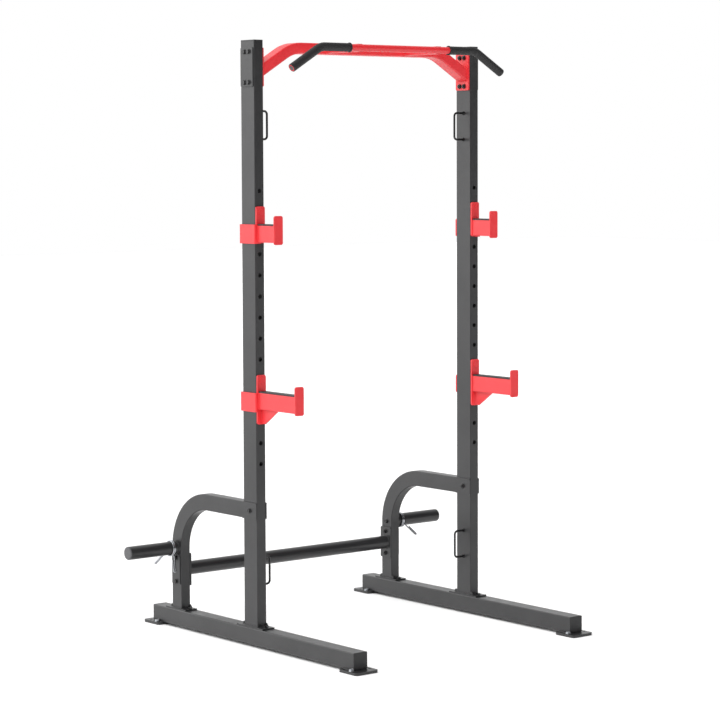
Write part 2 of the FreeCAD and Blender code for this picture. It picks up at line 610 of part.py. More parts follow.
def clip_handle(base, along_wire, outward, sideways, lean):
    """Edges of one clip handle: bend out of the coil, out, U-turn, and part of the way back."""
    bend, neck, arc, out, back, loop = (SIZES[f"clip_{key}"] for key in (
        "bend", "neck", "sweep", "handle", "return", "loop"))
    edges = []
    edge, spot = arc_edge(base + outward * bend, base, along_wire, bend)
    edges.append(edge)
    heading = outward
    edges.append(Part.LineSegment(spot, spot + heading * neck).toShape())
    spot = spot + heading * neck
    edge, spot = arc_edge(spot + sideways * arc, spot, heading, arc, lean)
    edges.append(edge)
    tilt = math.radians(lean)
    heading, sideways = (outward * math.cos(tilt) + sideways * math.sin(tilt),
                         sideways * math.cos(tilt) - outward * math.sin(tilt))
    edges.append(Part.LineSegment(spot, spot + heading * out).toShape())
    spot = spot + heading * out
    edge, spot = arc_edge(spot + sideways * loop, spot, heading, loop, 180)
    edges.append(edge)
    edges.append(Part.LineSegment(spot, spot - heading * back).toShape())
    return edges


def spring_clip(side, hand, inner_angle, outer_angle):
    """Left-hand wound wire clip around the peg, with a doubled-back handle at each end.

    Handle angles are measured from straight down, positive towards the rear.
    """
    wire, mean, pitch = number("clip_wire"), number("clip_inner + clip_wire"), number("clip_pitch")
    turns = SIZES["clip_turns"] + abs(inner_angle - outer_angle) / 360
    coil = Part.makeHelix(pitch, pitch * turns, mean).Edges[0]
    ends = []
    for parameter, sign, lean in ((coil.FirstParameter, -1, "clip_inner_lean"),
                                  (coil.LastParameter, 1, "clip_outer_lean")):
        base = coil.valueAt(parameter)
        outward = Vector(base.x, base.y, 0).normalize()
        onward = coil.tangentAt(parameter).normalize() * sign
        ends.append(clip_handle(base, onward, outward, AXIS["Z"], SIZES[lean]))
    path = Part.Wire(Part.__sortEdges__(ends[0] + [coil] + ends[1]))
    tip = ends[0][-1]
    end_point, end_way = tip.valueAt(tip.LastParameter), tip.tangentAt(tip.LastParameter)
    ring = Part.Wire([Part.makeCircle(wire, end_point, end_way)])
    clip = path.makePipeShell([ring], True, False).mirror(Vector(), AXIS["Y"])
    clip.translate(Vector(0, 0, -pitch * turns / 2))
    item = doc.addObject("Part::Feature", f"{side}_spring_clip")
    item.Shape = clip
    start_angle = inner_angle if hand > 0 else 180 - inner_angle
    turn = Rotation(AXIS["Y"], 90 * hand) * Rotation(AXIS["Z"], start_angle)
    put(item, f"{hand} * (upright_x + post_width / 2 + clip_x)", "post_y", "peg_z", turn)
    return node(item, f"{side}_spring_clip")


# ---- pull-up beam, bar and grips -------------------------------------------------------------

def pull_up_beam():
    half = new_body("beam_half")
    outer = rounded_profile(half, "outline", "YZ_Plane", "beam_depth", "beam_drop", "beam_corner")
    inner = rounded_profile(half, "bore_outline", "YZ_Plane", "beam_depth - 2 * beam_wall",
                            "beam_drop - 2 * beam_wall", "beam_corner - beam_wall")
    straight = "beam_bend_x - beam_bend * tan(beam_slope / 2 * 1deg)"
    path = bent_line(half, "path", "XZ_Plane", straight, 0, "beam_bend", -SIZES["beam_slope"], "240")
    half.setExpression("Placement.Base.y", formula("upright_y"))
    half.setExpression("Placement.Base.z", formula("beam_z"))
    sweep(half, "tube", outer, path)
    sweep(half, "bore", inner, path, cut=True)
    face = "upright_x - upright_width / 2"
    inside = f"({face} - top_plate_thick)"
    slab(half, "trim", ("200", "100", "400"), (f"{inside} + 100", "0", "top_plate_z - beam_z"), cut=True)
    plate = ("top_plate_thick", "top_plate_depth", "top_plate_height")
    slab(half, "flange", plate, (f"{inside} + top_plate_thick / 2", "0", "top_plate_z - beam_z"))
    beyond = number(inside)
    half_depth = number("beam_depth") / 2
    soften(half, "corners", "plate_corner", "X",
           lambda middle: middle.x > beyond and abs(middle.y) > half_depth)
    for k, (sy, sz) in enumerate(((-1, -1), (1, -1), (-1, 1), (1, 1)), start=1):
        start = (f"{inside} - 1", f"{sy} * top_bolt_y", f"top_plate_z - beam_z + {sz} * top_bolt_z")
        rod(half, f"hole_{k}", "bolt_hole", "top_plate_thick + 2", start, "X", cut=True)
    twin = doc.addObject("Part::Mirroring", "beam_other_half")
    twin.Source, twin.Normal = half, AXIS["X"]
    return node(joined("pull_up_beam", [half, twin]), "pull_up_beam")


def top_plate():
    body = new_body("left_top_plate")
    plate = ("yoke_thick", "top_plate_depth", "top_plate_height")
    x = f"{LEFT} - upright_width / 2 - yoke_thick / 2"
    slab(body, "plate", plate, (x, "upright_y", "top_plate_z"))
    soften(body, "corners", "plate_corner", "X")
    for k, (sy, sz) in enumerate(((-1, -1), (1, -1), (-1, 1), (1, 1)), start=1):
        start = (f"{x} - yoke_thick", f"upright_y + {sy} * top_bolt_y", f"top_plate_z + {sz} * top_bolt_z")
        rod(body, f"hole_{k}", "bolt_hole", "2 * yoke_thick", start, "X", cut=True)
    return node(body, "left_top_plate")


def top_bolts():
    members = []
    for k, (sy, sz) in enumerate(((-1, -1), (1, -1), (-1, 1), (1, 1)), start=1):
        across = (f"upright_y + {sy} * top_bolt_y", f"top_plate_z + {sz} * top_bolt_z")
        members += bolt_and_nut(f"left_top_{k}", "X", f"{LEFT} - upright_width / 2 - yoke_thick", across,
                                "yoke_thick + upright_width + top_plate_thick")
    return group("left_top_bolts", members)


BAR_STRAIGHT = "(bar_bend_x - bar_bend * tan(beam_slope / 2 * 1deg))"
BAR_SLOPE = "((bar_end_x - bar_bend_x) / cos(beam_slope * 1deg) - bar_bend * tan(beam_slope / 2 * 1deg))"


def lay_on_bar(half):
    half.setExpression("Placement.Base.y", formula("bar_y"))
    half.setExpression("Placement.Base.z", formula("bar_z"))


def pull_up_bar():
    half = new_body("bar_half")
    outer = round_profile(half, "outline", "YZ_Plane", "bar_outer")
    inner = round_profile(half, "bore_outline", "YZ_Plane", "bar_outer - bar_wall")
    path = bent_line(half, "path", "XZ_Plane", BAR_STRAIGHT, 0, "bar_bend", -SIZES["beam_slope"], BAR_SLOPE)
    lay_on_bar(half)
    sweep(half, "tube", outer, path)
    reach = "(upright_y - beam_depth / 2 - bar_y)"
    middle = ("standoff_x", f"{reach} / 2", "0")
    slab(half, "standoff", ("standoff_width", reach, "standoff_height"), middle)
    soften(half, "standoff_corners", "3", "Y")
    inside = ("standoff_width - 2 * standoff_wall", reach, "standoff_height - 2 * standoff_wall")
    slab(half, "standoff_bore", inside, ("standoff_x", f"{reach} / 2 + bar_outer", "0"), cut=True)
    sweep(half, "bore", inner, path, cut=True)
    twin = doc.addObject("Part::Mirroring", "bar_other_half")
    twin.Source, twin.Normal = half, AXIS["X"]
    return node(joined("pull_up_bar", [half, twin]), "pull_up_bar")


def grip():
    """Rubber sleeve over the bent end of the bar, with a raised collar at its inner end."""
    body = new_body("right_grip")
    outer = round_profile(body, "outline", "YZ_Plane", "grip_outer")
    inner = round_profile(body, "bore_outline", "YZ_Plane", "bar_outer + 0.1")
    path = bent_line(body, "path", "XZ_Plane", f"{BAR_STRAIGHT} - grip_start_x", 0, "bar_bend",
                     -SIZES["beam_slope"], BAR_SLOPE)
    lay_on_bar(body)
    body.setExpression("Placement.Base.x", formula("grip_start_x"))
    sweep(body, "sleeve", outer, path)
    rod(body, "collar", "grip_collar", "grip_collar_length", ("0", "0", "0"), "X")
    sweep(body, "bore", inner, path, cut=True)
    return node(body, "right_grip")


def bar_plug():
    """Plastic plug in the open end of the bar, its rim flush with the tube."""
    item = doc.addObject("Part::Cylinder", "right_bar_plug")
    bind(item, Radius="bar_outer - bar_wall - 0.1", Height="bar_plug_length")
    slope = SIZES["beam_slope"]
    item.Placement = Placement(Vector(), Rotation(AXIS["Y"], 90 + slope))
    put(item, "bar_end_x - bar_plug_length * cos(beam_slope * 1deg)", "bar_y",
        "bar_z - (bar_end_x - bar_bend_x) * tan(beam_slope * 1deg)"
        " + bar_plug_length * sin(beam_slope * 1deg)")
    return node(item, "right_bar_plug")


# ---- J-hooks and spotter arms ----------------------------------------------------------------

def hook(label, pin_z, plate_below, arm_below, arm_length):
    """Welded hook: pin, front plate, side band and rear lip around the upright, arm and end plate."""
    body = new_body(f"left_{label}")
    front = f"({UPRIGHT_FRONT} - hook_gap)"
    rear = f"({UPRIGHT_REAR} + hook_gap)"
    plate_height = f"({plate_below} + hook_above_pin)"
    band_z = f"{pin_z} - band_below_pin - band_height / 2"
    side_x = f"{LEFT} - upright_width / 2 - hook_gap - hook_thick / 2"
    plate_centre = (LEFT, f"{front} - hook_thick / 2", f"{pin_z} + hook_above_pin - {plate_height} / 2")
    slab(body, "front_plate", ("hook_plate", "hook_thick", plate_height), plate_centre)
    soften(body, "plate_corners", "hook_corner", "Y")
    wrap_y = f"({front} + {rear}) / 2"
    wrap = ("hook_thick", f"{rear} - ({front}) + 2 * hook_thick", "band_height")
    slab(body, "band", wrap, (side_x, wrap_y, band_z))
    for name, y in (("front_turn", f"{front} - hook_thick / 2"), ("rear_lip", f"{rear} + hook_thick / 2")):
        inner_end = f"{LEFT} + hook_plate / 2" if name == "rear_lip" else LEFT
        start = f"{LEFT} - upright_width / 2 - hook_gap - hook_thick"
        slab(body, name, (f"{inner_end} - ({start})", "hook_thick", "band_height"),
             (f"({inner_end} + {start}) / 2", y, band_z))
    outer_face = number(f"{LEFT} - upright_width / 2 - hook_gap - hook_thick")
    soften(body, "bends", "hook_thick - 1", "Z", lambda middle: abs(middle.x - outer_face) < 0.01)
    lip_end = number(f"{LEFT} + hook_plate / 2")
    lip_y = number(rear)
    soften(body, "lip_corners", "hook_corner", "Y",
           lambda middle: abs(middle.x - lip_end) < 0.01 and middle.y > lip_y)
    arm_front = f"({front} - hook_thick)"
    arm_z = f"{pin_z} - {arm_below} - arm_height / 2"
    arm_y = f"{arm_front} - {arm_length} / 2"
    slab(body, "arm", ("arm_width", arm_length, "arm_height"), (LEFT, arm_y, arm_z))
    arm_low, arm_high = number(f"{arm_z} - arm_height / 2"), number(f"{arm_z} + arm_height / 2")
    soften(body, "arm_corners", "3", "Y",
           lambda middle: middle.y < number(arm_front) - 1 and arm_low - 0.01 <= middle.z <= arm_high + 0.01)
    end_z = f"{pin_z} - {arm_below} - arm_height - end_plate_below + end_plate_height / 2"
    end_y = f"{arm_front} - {arm_length} - end_plate_thick / 2"
    slab(body, "end_plate", ("hook_plate", "end_plate_thick", "end_plate_height"), (LEFT, end_y, end_z))
    beyond = number(f"{arm_front} - {arm_length}")
    soften(body, "end_corners", "hook_corner + 1", "Y", lambda middle: middle.y < beyond)
    if label == "spotter_arm":
        spotter_gusset(body, arm_front, f"{pin_z} - {arm_below} - arm_height", f"{pin_z} - {plate_below} + 2")
    hollow = ("arm_width - 2 * arm_wall", arm_length, "arm_height - 2 * arm_wall")
    slab(body, "arm_hollow", hollow, (LEFT, arm_y, arm_z), cut=True)
    pin_start = f"{front} - hook_thick - 1.5"
    rod(body, "pin", "hook_pin", f"{rear} + hook_pin_tail - ({pin_start})", (LEFT, pin_start, pin_z), "Y")
    rod(body, "pin_head", "hook_pin + 1.5", "2", (LEFT, pin_start, pin_z), "Y")
    for k, share in enumerate((0.22, 0.78), start=1):
        stud = (LEFT, f"{arm_front} - {arm_length} * {share}", f"{pin_z} - {arm_below} - arm_wall - 1")
        rod(body, f"pad_hole_{k}", "4.1", "arm_wall + 2", stud, "Z", cut=True)
    return node(body, f"left_{label}")


def spotter_gusset(body, arm_front, under_arm, plate_foot):
    """Triangular plate between the front plate and the underside of the arm."""
    y, top, foot = number(arm_front), number(under_arm), number(plate_foot)
    long, toe = number("spotter_gusset_long"), number("spotter_gusset_toe")
    outline = [Vector(y + 1, top + 1, 0), Vector(y - long, top + 1, 0), Vector(y - long, top, 0),
               Vector(y - toe, foot, 0), Vector(y + 1, foot, 0)]
    sketch = new_sketch(body, "gusset_outline", "YZ_Plane")
    for a, b in zip(outline, outline[1:] + outline[:1]):
        sketch.addGeometry(Part.LineSegment(a, b))
    sketch.setExpression("AttachmentOffset.Base.z", formula(f"{LEFT} - spotter_gusset_thick / 2"))
    pad = body.newObject("PartDesign::Pad", f"{body.Name}_gusset")
    pad.Profile = sketch
    bind(pad, Length="spotter_gusset_thick")


def hook_pad(label, pin_z, arm_below, arm_length):
    """Plastic strip that the barbell rests on, located by two studs in the arm."""
    body = new_body(f"left_{label}_pad")
    arm_front = f"({UPRIGHT_FRONT} - hook_gap - hook_thick)"
    top = f"{pin_z} - {arm_below}"
    size = ("arm_width", f"{arm_length} - 1", "pad_thick")
    slab(body, "strip", size, (LEFT, f"{arm_front} - {arm_length} / 2", f"{top} + pad_thick / 2"))
    for k, share in enumerate((0.22, 0.78), start=1):
        stud = (LEFT, f"{arm_front} - {arm_length} * {share}", f"{top} - arm_wall - 2")
        rod(body, f"stud_{k}", "4", "arm_wall + 3", stud, "Z")
    return node(body, f"left_{label}_pad")


# ---- band loops ------------------------------------------------------------------------------

def band_loop(label, height):
    """Wire staple screwed into the upright's inner face."""
    r, reach = number("loop_wire"), number("loop_reach")
    half, corner = number("loop_pitch") / 2, number("loop_corner")
    inward = number("upright_wall") + 6
    far = reach - r
    knee = corner * (1 - math.sqrt(0.5))
    bends = []
    for way in (1, -1):
        bends.append(Part.Arc(Vector(far - corner, 0, way * half),
                              Vector(far - knee, 0, way * (half - knee)),
                              Vector(far, 0, way * (half - corner))))
    edges = [
        Part.LineSegment(Vector(-inward, 0, half), Vector(far - corner, 0, half)),
        bends[0],
        Part.LineSegment(Vector(far, 0, half - corner), Vector(far, 0, corner - half)),
        bends[1],
        Part.LineSegment(Vector(far - corner, 0, -half), Vector(-inward, 0, -half)),
    ]
    path = Part.Wire(Part.__sortEdges__([edge.toShape() for edge in edges]))
    ring = Part.Wire([Part.makeCircle(r, Vector(-inward, 0, half), AXIS["X"])])
    item = doc.addObject("Part::Feature", f"left_{label}_band_loop")
    item.Shape = path.makePipeShell([ring], True, True)
    put(item, f"{LEFT} + upright_width / 2", "upright_y", height)
    return node(item, f"left_{label}_band_loop")


def band_loop_nuts():
    members = []
    for label, height in (("high", "loop_high_z"), ("low", "loop_low_z")):
        for sign in (-1, 1):
            name = f"left_{label}_loop_{'top' if sign > 0 else 'bottom'}"
            place = (f"{LEFT} + upright_width / 2", "upright_y", f"{height} + {sign} * loop_pitch / 2")
            blank = hexagon(f"{name}_blank", "loop_nut", "loop_nut_thick", place, "X")
            thread = bar(f"{name}_thread", "loop_wire + nut_slack", "loop_nut_thick", place, "X")
            members.append(bored(f"{name}_nut", blank, thread))
    return group("left_band_loop_nuts", members)


# ---- the whole rack --------------------------------------------------------------------------

left_pieces = [
    base_rail(), rail_cap("front", -1), rail_cap("rear", 1), upright(), upright_cap(), rear_support(),
    yoke_bolt(), base_bolts("upright", "upright_y", "upright_depth"),
    base_bolts("post", "post_y", "post_depth"), crossbar_plate(), crossbar_bolts(),
    plate_peg(), peg_cap(), peg_bolt(), top_plate(), top_bolts(),
    hook("j_hook", "j_pin_z", "j_plate_below", "j_arm_below", "j_arm_length"),
    hook_pad("j_hook", "j_pin_z", "j_arm_below", "j_arm_length"),
    hook("spotter_arm", "spotter_pin_z", "spotter_plate_below", "spotter_arm_below", "spotter_arm_length"),
    hook_pad("spotter_arm", "spotter_pin_z", "spotter_arm_below", "spotter_arm_length"),
    band_loop("high", "loop_high_z"), band_loop("low", "loop_low_z"), band_loop_nuts(),
]
for piece in left_pieces:
    mirrored(piece, piece.Label.replace("left_", "right_"))
for piece in (grip(), bar_plug()):
    mirrored(piece, piece.Label.replace("right_", "left_"))
rear_crossbar()
pull_up_beam()
pull_up_bar()
anchor_bolts("left", LEFT)
anchor_bolts("right", "upright_x")
spring_clip("left", -1, -14, 42)
spring_clip("right", 1, 9, -50)

doc.recompute()
faults = []
for item in doc.Objects:
    if "Invalid" in item.State or "Error" in item.State:
        faults.append(f"{item.Name} {item.State} {item.getStatusString()}")
for item in NODES:
    if item.Shape.isNull() or not item.Shape.isValid() or item.Shape.Volume <= 0:
        faults.append(f"{item.Label} shape")
if faults:
    raise RuntimeError("; ".join(faults))

os.makedirs("parts", exist_ok=True)
for item in NODES:
    item.Shape.exportStep(f"parts/{item.Label}.step")
    print(f"{item.Label:28s} solids {len(item.Shape.Solids)} volume {item.Shape.Volume:12.0f}")
print(len(NODES), "nodes")
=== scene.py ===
"""Open squat rack: materials, pieces, floor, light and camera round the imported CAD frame."""
import json
import math
import random

import bmesh
import bpy
from mathutils import Matrix, Vector


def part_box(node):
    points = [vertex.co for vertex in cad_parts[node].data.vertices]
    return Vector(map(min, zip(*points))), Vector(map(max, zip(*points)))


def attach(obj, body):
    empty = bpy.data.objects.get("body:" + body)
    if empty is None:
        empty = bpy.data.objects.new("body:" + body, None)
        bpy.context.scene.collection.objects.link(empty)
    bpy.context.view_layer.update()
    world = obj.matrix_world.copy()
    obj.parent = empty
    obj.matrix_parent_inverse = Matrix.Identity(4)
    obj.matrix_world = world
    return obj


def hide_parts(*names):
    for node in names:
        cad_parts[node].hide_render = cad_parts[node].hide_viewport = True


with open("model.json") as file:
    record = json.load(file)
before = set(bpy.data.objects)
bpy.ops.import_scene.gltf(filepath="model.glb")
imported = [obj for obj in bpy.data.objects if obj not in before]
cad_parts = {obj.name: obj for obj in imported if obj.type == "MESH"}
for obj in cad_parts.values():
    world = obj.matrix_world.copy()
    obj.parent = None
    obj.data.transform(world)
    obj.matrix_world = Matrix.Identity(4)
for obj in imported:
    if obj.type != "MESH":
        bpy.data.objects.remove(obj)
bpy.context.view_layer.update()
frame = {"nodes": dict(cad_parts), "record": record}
NODES = frame["nodes"]
RECORD = frame["record"]
SIDES = (("left", -1), ("right", 1))
ENDS = (("front", -1), ("rear", 1))
scene = bpy.context.scene


def centre_of(name):
    """Middle of a CAD node's box."""
    low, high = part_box(name)
    return (low + high) / 2


def outermost(name, axis, way):
    """Coordinate of a CAD node's outermost plane along an axis, on its high or low side."""
    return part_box(name)[1 if way > 0 else 0][axis]


def add_object(name, data):
    obj = bpy.data.objects.new(name, data)
    scene.collection.objects.link(obj)
    return obj


# ---- sizes in metres, the same as in the CAD -------------------------------------------------

ACROSS = abs(centre_of("left_upright_cap").x)   # from the middle of the rack to an upright
UPRIGHT = (0.020, 0.040)       # half width and half depth of the upright tube
POST = (0.020, 0.030)          # the same of the rear support
CORNER = 0.003                 # corner radius of both
BASE_THICK = 0.005             # base plate of both
RAIL = 0.060                   # width of a base rail
FOOT = (0.100, 0.010)          # length and thickness of a rail's foot plate
YOKE = 0.004                   # wall of the support's yoke

ARM = (0.015, 0.030)           # half width and half height of a hook's arm
PLATE = 0.006                  # thickness of a hook's front plate
HOOK_GAP = 0.0005              # from that plate to the upright
ABOVE_PIN = 0.020              # from the pin's axis to the top of the plate
PIN_HEAD = 0.0085              # radius
LINER = 0.005                  # thickness
GUSSET = (0.096, 0.005)        # length and thickness of a spotter arm's gusset

CROSSBAR = 0.0254              # radius
END_PLATE = 0.006              # flanges of the crossbar and of the beam
PEG_ROOT = (0.0240, 0.005)     # radius and thickness of a plate peg's root

SLOPE = math.radians(31)       # of the beam's ends and of the bar's grips
BEAM = (0.030, 0.020)          # half depth and half height
BEAM_CORNER = 0.006
BEAM_BEND_X, BEAM_Z = 0.346, 2.146
STAND_OFF = (0.0125, 0.014)    # half width and half height
STAND_OFF_X = 0.185

BAR_BEND_X, BAR_END_X, BAR_Y, BAR_Z = 0.362, 0.492, -0.213, 2.144
BAR_BEND = 0.065               # bending radius
BAR_R, GRIP_R, COLLAR_R, PLUG_R = 0.0125, 0.0155, 0.0175, 0.0098
BEND_CUT = BAR_BEND * math.tan(SLOPE / 2)       # from the corner of the bend to where it starts
BAR_STRAIGHT = BAR_BEND_X - BEND_CUT
BAR_ARC = BAR_BEND * SLOPE
BAR_LENGTH = BAR_STRAIGHT + BAR_ARC + (BAR_END_X - BAR_BEND_X) / math.cos(SLOPE) - BEND_CUT

HEAD = 0.0064                  # height of a bolt head or nut
FLANGE = 0.0094                # radius of the washer flange under it
FLAT = 0.0073                  # from the bolt's axis to a flat
SHANK = 0.005                  # radius
PITCH, THREAD_DEPTH = 0.0015, 0.0007
SMALL_NUT = (0.0041, 0.0078, 0.0061)            # bore, flange and flat of a band loop's nut
RIPPLE = 0.0036                # spacing of the ripples on a weld bead


# ---- materials -------------------------------------------------------------------------------

def srgb(r, g, b):
    """Linear colour of an 8-bit sRGB one."""
    def line(v):
        v /= 255
        return v / 12.92 if v <= 0.04045 else ((v + 0.055) / 1.055) ** 2.4
    return (line(r), line(g), line(b), 1.0)


class Nodes:
    """Short hand for building one material's node tree."""

    def __init__(self, name):
        self.material = bpy.data.materials.new(name)
        self.material.use_nodes = True
        self.tree = self.material.node_tree
        self.shader = self.tree.nodes["Principled BSDF"]
        self.place = self.add("ShaderNodeTexCoord").outputs["Object"]

    def add(self, kind, **values):
        node = self.tree.nodes.new(kind)
        for key, value in values.items():
            setattr(node, key, value)
        return node

    def link(self, source, target):
        self.tree.links.new(source, target)

    def noise(self, scale, detail=3.0, rough=0.5, stretch=None):
        """Noise with a scale per metre, which may be stretched along the axes."""
        node = self.add("ShaderNodeTexNoise")
        node.inputs["Scale"].default_value = scale
        node.inputs["Detail"].default_value = detail
        node.inputs["Roughness"].default_value = rough
        source = self.place
        if stretch:
            mapping = self.add("ShaderNodeMapping")
            mapping.inputs["Scale"].default_value = stretch
            self.link(self.place, mapping.inputs["Vector"])
            source = mapping.outputs["Vector"]
        self.link(source, node.inputs["Vector"])
        return node.outputs["Fac"]

    def cells(self, scale):
        node = self.add("ShaderNodeTexVoronoi", feature="F1")
        node.inputs["Scale"].default_value = scale
        self.link(self.place, node.inputs["Vector"])
        return node.outputs["Distance"]

    def ramp(self, source, *stops):
        """Colour ramp from (position, colour) pairs; a plain number is a grey."""
        node = self.add("ShaderNodeValToRGB")
        elements = node.color_ramp.elements
        while len(elements) < len(stops):
            elements.new(0.5)
        for element, (position, colour) in zip(elements, stops):
            element.position = position
            element.color = colour if isinstance(colour, tuple) else (colour, colour, colour, 1.0)
        self.link(source, node.inputs["Fac"])
        return node.outputs["Color"]

    def mix(self, factor, a, b):
        """Colour between two colours, each a value or another node's output."""
        node = self.add("ShaderNodeMix", data_type="RGBA")
        self.link(factor, node.inputs["Factor"])
        for socket, value in ((node.inputs[6], a), (node.inputs[7], b)):
            if isinstance(value, tuple):
                socket.default_value = value
            else:
                self.link(value, socket)
        return node.outputs[2]

    def bump(self, *layers):
        """Stack of (height, strength, distance in metres) layers."""
        normal = None
        for height, strength, distance in layers:
            node = self.add("ShaderNodeBump")
            node.inputs["Strength"].default_value = strength
            node.inputs["Distance"].default_value = distance
            self.link(height, node.inputs["Height"])
            if normal:
                self.link(normal, node.inputs["Normal"])
            normal = node.outputs["Normal"]
        self.link(normal, self.shader.inputs["Normal"])

    def finish(self, colour, rough, **fixed):
        """Link colour and roughness, and set what is the same all over on the shader itself."""
        self.link(colour, self.shader.inputs["Base Color"])
        self.link(rough, self.shader.inputs["Roughness"])
        for key, value in fixed.items():
            self.shader.inputs[key.replace("_", " ")].default_value = value
        return self.material


def powder_coat(name, dark, light, fleck, rough):
    """Baked powder: two close tones, fine flecks and orange-peel relief."""
    n = Nodes(name)
    tone = n.ramp(n.noise(9, 4), (0.35, dark), (0.65, light))
    specks = n.ramp(n.noise(1500, 2, 0.6), (0.60, 0.0), (0.72, 0.5))
    colour = n.mix(specks, tone, fleck)
    sheen = n.ramp(n.noise(34, 3), (0.3, rough[0]), (0.7, rough[1]))
    n.bump((n.noise(420, 2), 0.28, 0.0004), (n.noise(1900, 2, 0.6), 0.20, 0.00012))
    return n.finish(colour, sheen)


def moulded_plastic(name, dark, light, rough):
    """Spark-eroded moulded surface with slight scuffing."""
    n = Nodes(name)
    colour = n.ramp(n.noise(60, 5, 0.6), (0.3, dark), (0.7, light))
    sheen = n.ramp(n.noise(240, 4, 0.7), (0.3, rough[0]), (0.7, rough[1]))
    n.bump((n.noise(1600, 4, 0.7), 0.35, 0.0002))
    return n.finish(colour, sheen)


def foam_rubber():
    """Closed-cell grip sleeve: pebbled skin with small pores."""
    n = Nodes("grip_foam")
    pebbles = n.cells(720)
    colour = n.ramp(pebbles, (0.1, srgb(18, 18, 19)), (0.55, srgb(36, 36, 37)))
    sheen = n.ramp(n.noise(90, 3), (0.3, 0.62), (0.7, 0.78))
    n.bump((n.noise(70, 3), 0.25, 0.0008), (pebbles, 0.45, 0.0004))
    return n.finish(colour, sheen)


def bright_metal(name, dark, light, rough, scratch):
    """Plated steel with fine directional scratches."""
    n = Nodes(name)
    colour = n.ramp(n.noise(160, 4), (0.3, dark), (0.7, light))
    streaks = n.noise(900, 3, 0.6, stretch=(1.0, 0.12, 0.12))
    sheen = n.ramp(streaks, (0.3, rough[0]), (0.7, rough[1]))
    n.bump((streaks, scratch, 0.00006))
    return n.finish(colour, sheen, Metallic=1.0)


def black_bolt():
    """Black-oxide steel with lighter, rubbed patches."""
    n = Nodes("bolt_black_oxide")
    rubbed = n.ramp(n.noise(380, 5, 0.65), (0.55, 0.0), (0.8, 1.0))
    colour = n.mix(rubbed, srgb(9, 9, 10), srgb(36, 36, 38))
    sheen = n.ramp(n.noise(500, 3), (0.3, 0.13), (0.7, 0.23))
    n.bump((n.noise(1400, 3), 0.2, 0.0001))
    return n.finish(colour, sheen)


def painted_floor():
    """Matt white floor with very faint clouds."""
    n = Nodes("floor_white")
    colour = n.ramp(n.noise(3, 3), (0.3, (0.93, 0.93, 0.93, 1.0)), (0.7, (0.95, 0.95, 0.95, 1.0)))
    sheen = n.ramp(n.noise(5, 2), (0.3, 0.75), (0.7, 0.85))
    n.bump((n.noise(300, 3), 0.05, 0.0003))
    return n.finish(colour, sheen)


MATERIALS = {
    "black_powder_coat": powder_coat("frame_powder_coat", srgb(36, 36, 37), srgb(42, 42, 43),
                                     srgb(70, 70, 72), (0.30, 0.37)),
    "red_powder_coat": powder_coat("red_powder_coat", srgb(211, 42, 48), srgb(217, 46, 52),
                                   srgb(230, 84, 88), (0.36, 0.44)),
    "black_hardware": black_bolt(),
    "zinc_hardware": bright_metal("zinc_plate", srgb(150, 154, 160), srgb(182, 185, 188),
                                  (0.24, 0.36), 0.2),
    "chrome_wire": bright_metal("chrome_plate", srgb(158, 160, 164), srgb(182, 184, 188),
                                (0.06, 0.14), 0.08),
    "black_plastic": moulded_plastic("cap_plastic_black", srgb(34, 34, 35), srgb(40, 40, 41),
                                     (0.45, 0.58)),
    "grey_plastic": moulded_plastic("cap_plastic_grey", srgb(70, 70, 72), srgb(80, 80, 82),
                                    (0.42, 0.55)),
    "black_liner": moulded_plastic("liner_polyethylene", srgb(24, 24, 25), srgb(31, 31, 32),
                                   (0.48, 0.62)),
    "black_grip": foam_rubber(),
}
# the band loops share the frame's slot, but are darker and glossier
LOOP_COAT = powder_coat("loop_powder_coat", srgb(15, 15, 16), srgb(20, 20, 21),
                        srgb(48, 48, 50), (0.26, 0.34))
SLOT_OF = {entry["node"]: entry["material_slot"] for entry in RECORD["subparts"]}
BODY_OF = {name: body for body, names in RECORD["behaviour"]["bodies"].items() for name in names}


def paint(obj, slot):
    obj.data.materials.clear()
    obj.data.materials.append(MATERIALS[slot])


for name, node in NODES.items():
    paint(node, SLOT_OF[name])


# ---- mesh building ---------------------------------------------------------------------------

def new_piece(name, bm, body, slot, *replaced, sharp=32):
    """Turn a bmesh into a smooth-shaded piece that rides on a body and may stand for CAD nodes."""
    bmesh.ops.recalc_face_normals(bm, faces=bm.faces)
    mesh = bpy.data.meshes.new(name)
    bm.to_mesh(mesh)
    bm.free()
    mesh.polygons.foreach_set("use_smooth", [True] * len(mesh.polygons))
    mesh.set_sharp_from_angle(angle=math.radians(sharp))
    obj = add_object(name, mesh)
    paint(obj, slot)
    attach(obj, body)
    if replaced:
        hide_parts(*replaced)
    weights = obj.modifiers.new("face_weighted_normals", "WEIGHTED_NORMAL")
    weights.keep_sharp = True
    return obj


def from_node(name):
    """Copy of a CAD node's mesh as a bmesh with its coincident points and flat facets merged."""
    bm = bmesh.new()
    bm.from_mesh(NODES[name].data)
    bmesh.ops.remove_doubles(bm, verts=bm.verts, dist=2e-6)
    bmesh.ops.dissolve_limit(bm, angle_limit=math.radians(0.4), verts=bm.verts, edges=bm.edges)
    return bm


def ease(bm, edges, width, segments):
    """Round some edges."""
    bmesh.ops.bevel(bm, geom=edges, offset=width, offset_type="OFFSET", segments=segments,
                    profile=0.5, affect="EDGES", clamp_overlap=False)


def refined(name, width=0.0, pick=lambda e: True, segments=2):
    """Stand-in for a CAD node: the same shape, smooth shading, and the picked sharp edges eased."""
    bm = from_node(name)
    if width:
        ease(bm, [e for e in bm.edges if len(e.link_faces) == 2
                  and e.calc_face_angle(0) > math.radians(40) and pick(e)], width, segments)
    return new_piece(f"{name}_finish", bm, BODY_OF[name], SLOT_OF[name], name)


